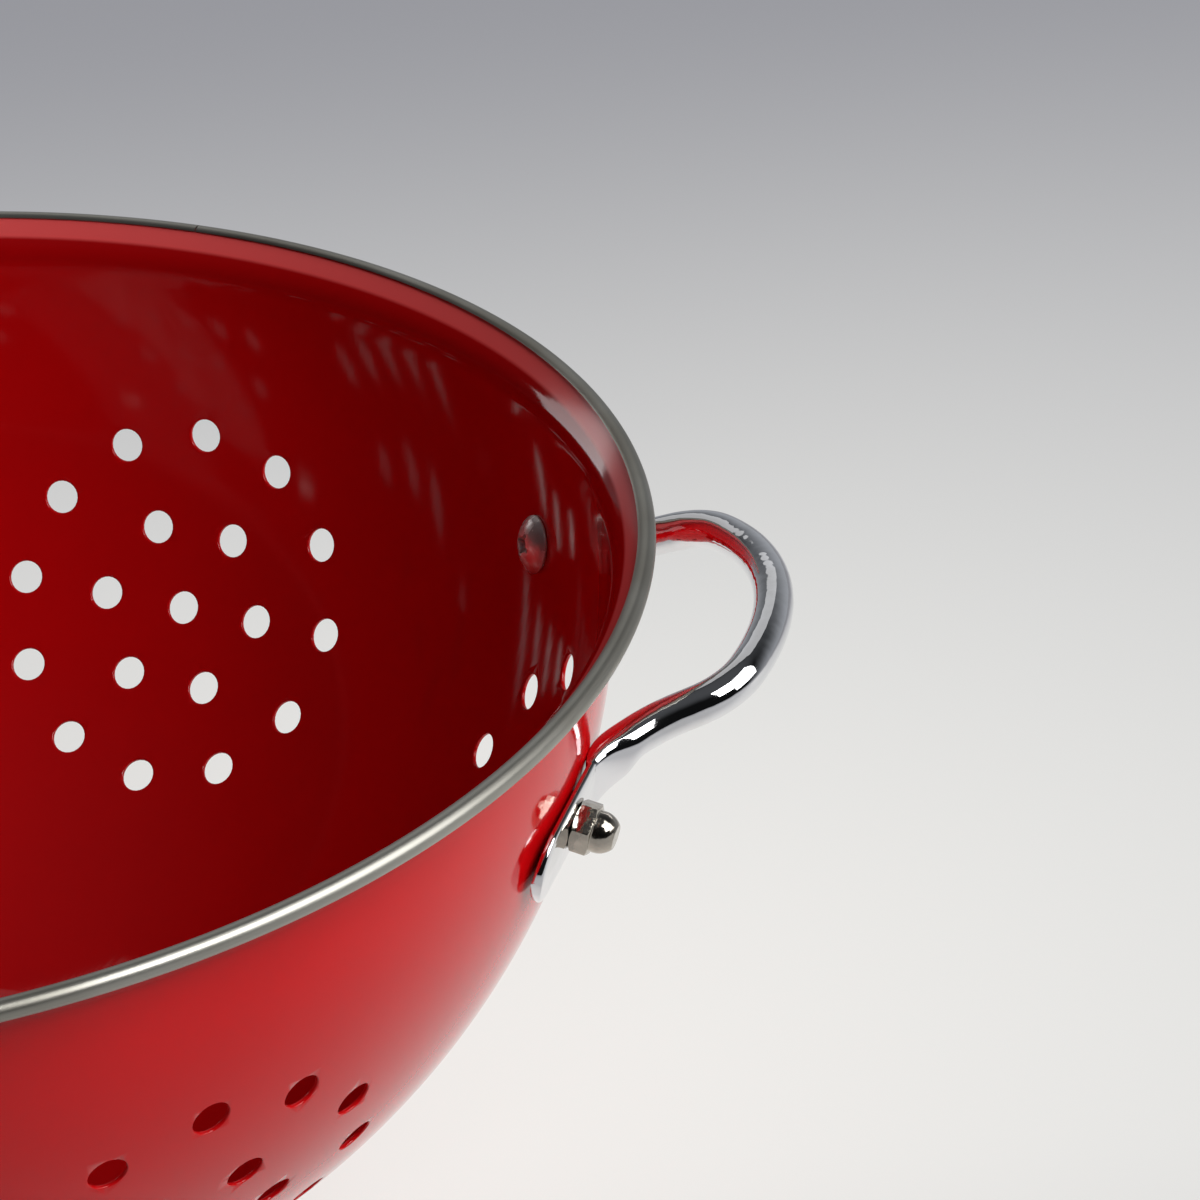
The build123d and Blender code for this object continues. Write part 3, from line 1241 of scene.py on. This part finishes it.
@dataclass
class Fastener:
    """A domed cross-head screw and its cap nut, modelled once and copied to four seats."""

    shape: WallShape
    screw_finish: Material
    nut_finish: Material
    mount_angle: float
    sharp: float = 32.0
    head_diameter: float = 9.4
    head_height: float = 2.4
    head_rim: float = 0.5
    head_round: float = 0.25
    head_round_lift: float = 0.3
    head_chamfer: float = 0.1
    shank: float = 3.9
    length: float = 7.4
    point: float = 0.4
    seat_gap: float = 0.15
    screw_steps: int = 48
    cross: Triple = (5.0, 0.95, 2.2)
    cross_taper: Pair = (0.42, 0.6)
    cross_lift: float = 0.55
    cross_turn: float = 12.0
    core: tuple[Pair, ...] = ((0.0, -1.0), (1.35, -1.0), (1.35, 0.3), (0.5, 1.5), (0.0, 1.7))
    core_steps: int = 12
    nut_base: float = 2.55
    nut_turn: float = 9.0
    nut_height: float = 6.6
    nut_steps: int = 72
    across_flats: float = 7.0
    hexagon_height: float = 2.9
    hexagon_chamfer: float = 30.0
    hexagon_depth: float = 12.0
    dome_diameter: float = 6.2
    dome_fillet: float = 0.12
    bore_depth: float = 5.0
    bore_play: float = 0.05
    bore_chamfer: float = 0.15
    edge_round: float = 0.08
    round_steps: int = 2
    round_angle: float = 35.0

    def recess(self, top: float) -> Piece:
        """Make the tool that cuts the cross: two tapered arms and a core.

        Args:
            top: Height of the head's top.

        Returns:
            The tool.
        """
        arms = []
        for turn in (0.0, 90.0):
            Bench.clear()
            bpy.ops.mesh.primitive_cube_add(size=1.0)
            arm = bpy.context.object
            bpy.ops.object.mode_set(mode="EDIT")
            bpy.ops.mesh.select_all(action="SELECT")
            bpy.ops.transform.resize(value=tuple(size * MM for size in self.cross))
            Bench.pick(arm, "FACE", lambda face: face.calc_center_median().z > 0.0)
            bpy.ops.transform.resize(value=(*self.cross_taper, 1.0))
            Bench.done()
            lift = Matrix.Translation((0.0, 0.0, (top + self.cross_lift) * MM))
            spin = Matrix.Rotation(math.radians(turn + self.cross_turn), 4, "Z")
            arms.append(Bench.copy(arm, "arm", lift @ spin))
            bpy.data.objects.remove(arm)
        profile = [(radius, top + height) for radius, height in self.core]
        core = Bench.lathe("core", profile, self.core_steps)
        Bench.carve(arms[0], arms[1], "UNION")
        Bench.carve(arms[0], core, "UNION")
        return arms[0]

    def screw(self) -> Piece:
        """Model the screw in its own frame, z out of the bowl.

        Returns:
            The screw, with a cross recess in its domed head.
        """
        radius = self.head_diameter / 2
        rise = self.head_height - self.head_rim
        dome = (radius**2 + rise**2) / (rise * 2)
        half = math.degrees(math.asin(radius / dome))
        edge = -self.seat_gap
        top = edge - self.head_height
        shank = self.shank / 2
        end = edge + self.length
        profile = [
            (0.0, top),
            *arc((0.0, top + dome), dome, -90.0, -90.0 + half, 10)[1:-1],
            *arc((radius - self.head_round, edge - self.head_round_lift), self.head_round,
                 -60.0, 0.0, 4),
            (radius, edge - self.head_chamfer), (radius - self.head_chamfer, edge),
            (shank, edge), (shank, end - self.point), (shank - self.point, end), (0.0, end),
        ]
        screw = Bench.lathe("screw_pattern", profile, self.screw_steps)
        Bench.carve(screw, self.recess(top))
        Bench.smooth(screw, self.sharp)
        return screw

    def nut(self) -> Piece:
        """Model the cap nut in the same frame.

        Returns:
            The nut, a chamfered hexagon with a domed cap and a blind bore.
        """
        base = self.nut_base
        top = base + self.hexagon_height
        flat = self.across_flats / 2
        corner = self.across_flats / math.sqrt(3.0)
        cut = (corner - flat) * math.tan(math.radians(self.hexagon_chamfer))
        dome = self.dome_diameter / 2
        centre = base + self.nut_height - dome
        fillet = self.dome_fillet
        bore = self.shank / 2 + self.bore_play
        inside = base + self.bore_depth
        blank = Bench.lathe("nut_pattern", [
            (bore, base + self.bore_chamfer), (bore + self.bore_chamfer, base),
            (flat, base), (corner, base + cut), (corner, top - cut), (flat, top),
            (dome + fillet, top), (dome, top + fillet), (dome, centre),
            *arc((0.0, centre), dome, 8.0, 82.0, 10), (0.0, centre + dome),
            (0.0, inside), (bore, inside)], self.nut_steps, closed=True)
        Bench.clear()
        bpy.ops.mesh.primitive_cylinder_add(
            vertices=6, radius=corner * MM, depth=self.hexagon_depth * MM,
            location=(0, 0, base * MM), rotation=(0.0, 0.0, math.radians(self.nut_turn)))
        Bench.carve(blank, Bench.done(), "INTERSECT")
        Bench.bevel(blank, self.edge_round, self.round_steps, self.round_angle)
        Bench.smooth(blank, self.sharp)
        return blank

    def build(self) -> list[Piece]:
        """Model both pieces, copy them to the four seats and dress them.

        Returns:
            The four screws and the four nuts.
        """
        patterns = {
            "screw": (self.screw(), self.screw_finish),
            "acorn_nut": (self.nut(), self.nut_finish),
        }
        seats = {
            "right_front": -self.mount_angle,
            "right_back": self.mount_angle,
            "left_front": 180.0 + self.mount_angle,
            "left_back": 180.0 - self.mount_angle,
        }
        made = []
        for kind, (pattern, finish) in patterns.items():
            for place, angle in seats.items():
                seat = self.shape.seat(angle, self.shape.mount_height)
                piece = Bench.copy(pattern, f"{kind}_{place}_piece", seat)
                dress(piece, finish, f"{kind}_{place}")
                made.append(piece)
            bpy.data.objects.remove(pattern)
        return made


# Studio


@dataclass(frozen=True)
class Lamp:
    """A soft lamp: where it hangs and points, its width and height in metres and its watts."""

    name: str
    place: Triple
    aim: Triple
    size: Pair
    power: float

    def build(self) -> None:
        """Hang the lamp."""
        Bench.clear()
        bpy.ops.object.light_add(type="AREA", location=self.place)
        lamp = bpy.context.object
        lamp.name = lamp.data.name = self.name
        lamp.data.shape = "RECTANGLE"
        lamp.data.size, lamp.data.size_y = self.size
        lamp.data.energy = self.power
        way = Vector(self.aim) - Vector(self.place)
        lamp.rotation_euler = way.to_track_quat("-Z", "Y").to_euler()


@dataclass(frozen=True)
class Camera:
    """The camera at the photograph's place and angle.

    Heading and pitch are in degrees, the roll in radians and the place in millimetres.
    """

    place: Triple = (102.88, -580.09, 421.64)
    heading: float = 88.484
    pitch: float = 28.954
    roll: float = -0.057059
    lens: float = 133.244
    sensor: float = 36.0
    nearest: float = 0.01

    def build(self) -> None:
        """Set the camera up."""
        heading, pitch = math.radians(self.heading), math.radians(self.pitch)
        forward = Vector((math.cos(heading) * math.cos(pitch),
                          math.sin(heading) * math.cos(pitch), -math.sin(pitch)))
        right = Vector((math.sin(heading), -math.cos(heading), 0.0))
        up = right.cross(forward)
        x_axis = right * math.cos(self.roll) + up * math.sin(self.roll)
        y_axis = up * math.cos(self.roll) - right * math.sin(self.roll)
        Bench.clear()
        bpy.ops.object.camera_add()
        camera = bpy.context.object
        camera.name = camera.data.name = "photograph_camera"
        frame = Matrix((x_axis, y_axis, -forward)).transposed().to_4x4()
        camera.matrix_world = Matrix.Translation(Vector(self.place) * MM) @ frame
        camera.data.sensor_width = self.sensor
        camera.data.lens = self.lens
        camera.data.clip_start = self.nearest
        bpy.context.scene.camera = camera


@dataclass(frozen=True)
class Fade:
    """Where a floor colour gives way to the next, in metres, and the most it gives way."""

    start: float
    end: float
    share: float = 1.0


@dataclass(frozen=True)
class Studio:
    """Floor, surround, lamps and camera."""

    floor_size: float = 6.0
    floor_place: Triple = (0.0, 1.0, 0.0)
    floor_roughness: float = 0.6
    near: Triple = (0.95, 0.95, 0.92)
    far: Triple = (0.36, 0.363, 0.395)
    # Colour of the floor's far edges, and of the painted shadow in front of and left of the bowl
    edge: Triple = (0.36, 0.363, 0.38)
    away: Fade = Fade(0.0, 0.55)
    right: Fade = Fade(0.06, 0.3, 0.27)
    right_slant: float = 0.3
    # Painted shadow of the bowl on the floor, in front of it and to its left
    front: Fade = Fade(0.0, 0.16, 0.8)
    left: Fade = Fade(0.06, 0.3, 0.6)
    around: Fade = Fade(0.5, 1.0)
    around_x: float = 0.08
    evenness: float = 0.75
    sky: Triple = (0.90, 0.94, 1.0)
    glow_way: Triple = (0.35, 0.8, 0.6)
    glow: Fade = Fade(0.0, 0.9, 0.4)
    zenith: Fade = Fade(0.6, 1.0, 0.07)
    dimmest: float = 0.006
    lamps: tuple[Lamp, ...] = (
        Lamp("key_lamp", (0.86, -0.22, 0.66), (0.1, -0.05, 0.05), (0.6, 0.9), 5.5),
        Lamp("front_lamp", (0.58, -0.5, 0.76), (0.12, -0.05, 0.1), (0.34, 0.6), 4.2),
        Lamp("back_lamp", (-0.1, 0.95, 0.95), (0.0, 0.0, 0.1), (1.2, 0.7), 1.2),
        Lamp("side_lamp", (-0.85, 0.95, 0.35), (0.0, 0.0, 0.1), (0.42, 0.32), 1.2),
    )

    @staticmethod
    def fade(wire: Wire, fade: Fade) -> Wire:
        """A fade's share at the place or height that a wire gives."""
        return wire.ramp(fade.start, fade.end) * fade.share

    def floor(self) -> None:
        """Lay a pale floor that darkens away from the camera and towards its edges, with a painted
        shadow of the bowl in front of it and to its left.

        The camera sees it lit evenly, so that the lamps' falloff hardly shows on it.
        """
        Bench.clear()
        bpy.ops.mesh.primitive_plane_add(size=self.floor_size, location=self.floor_place)
        plane = bpy.context.object
        plane.name = plane.data.name = "studio_floor"
        Bench.done()
        paint = Paint("studio_floor")
        x, y, _ = paint.axes()
        colour = paint.mix(self.fade(y, self.away), self.near, self.far)
        colour = paint.mix(self.fade(x - y * self.right_slant, self.right), colour, self.far)
        matt = paint.node(
            "ShaderNodeBsdfPrincipled", Base_Color=colour, Roughness=self.floor_roughness
        )
        from_middle = x - self.around_x
        reach = (from_middle * from_middle + y * y).apply("SQRT")
        # Painted shadow: in front of and to the left of the bowl, the floor that the camera and
        # reflections see is painted dark in place of the bowl's shadow; far out it fades to the
        # edge colour too
        for wire, fade in ((y * -1.0, self.front), (x * -1.0, self.left), (reach, self.around)):
            colour = paint.mix(self.fade(wire, fade), colour, self.edge)
        rays = paint.node("ShaderNodeLightPath").outputs
        seen = Wire(paint, rays["Is Camera Ray"])
        for kind in ("Is Glossy Ray", "Is Transmission Ray"):
            seen = seen + Wire(paint, rays[kind])
        plain = paint.node("ShaderNodeEmission", Color=colour, Strength=1.0)
        both = paint.node("ShaderNodeMixShader", Fac=seen.clamp() * self.evenness)
        paint.feed(both.inputs[1], matt.outputs[0])
        paint.feed(both.inputs[2], plain.outputs[0])
        plane.data.materials.append(paint.close(both))

    def surround(self) -> None:
        """Make a dim surround, brighter low behind the object and overhead."""
        world = bpy.data.worlds.new("studio_surround")
        world.use_nodes = True
        graph = Graph(world.node_tree)
        x, y, z = graph.axes("Generated")
        to_x, to_y, down = self.glow_way
        glow = self.fade(x * to_x + y * to_y - z * down, self.glow) + self.fade(z, self.zenith)
        back = world.node_tree.nodes["Background"]
        graph.feed(back.inputs["Color"], self.sky)
        graph.feed(back.inputs["Strength"], glow + self.dimmest)
        bpy.context.scene.world = world

    def build(self) -> None:
        """Set the whole scene up."""
        self.floor()
        self.surround()
        Camera().build()
        for lamp in self.lamps:
            lamp.build()
        bpy.context.scene.view_settings.view_transform = "Standard"


def main() -> None:
    """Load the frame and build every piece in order."""
    logging.basicConfig(level=logging.INFO, format="%(name)s: %(message)s")
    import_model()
    enamel = EnamelFinish().build()
    band_steel = BandFinish().build()
    chrome, nickel, zinc = (
        finish.build()
        for finish in (
            PlateFinish("chrome", (0.80, 0.80, 0.82), (0.70, 0.70, 0.70), 0.04, 0.06, 90.0),
            PlateFinish("nickel", (0.47, 0.43, 0.37), (0.36, 0.33, 0.28), 0.12, 0.12, 300.0),
            PlateFinish("zinc", (0.80, 0.79, 0.77), (0.64, 0.62, 0.60), 0.24, 0.12, 300.0, 0.5),
        )
    )
    shape = WallShape()
    handle = Handle(shape, chrome)
    right = handle.build(Side.RIGHT, None)
    pieces = [
        Bowl(shape, enamel, handle.mount_angle).build(),
        RimBand(shape, band_steel).build(),
        FootRing(shape, enamel).build(),
        right,
        handle.build(Side.LEFT, right),
        *Fastener(shape, zinc, nickel, handle.mount_angle).build(),
    ]
    for piece in pieces:
        LOG.info("%s: %d faces", piece.name, len(piece.data.polygons))
    Studio().build()


if __name__ == "__main__":
    main()
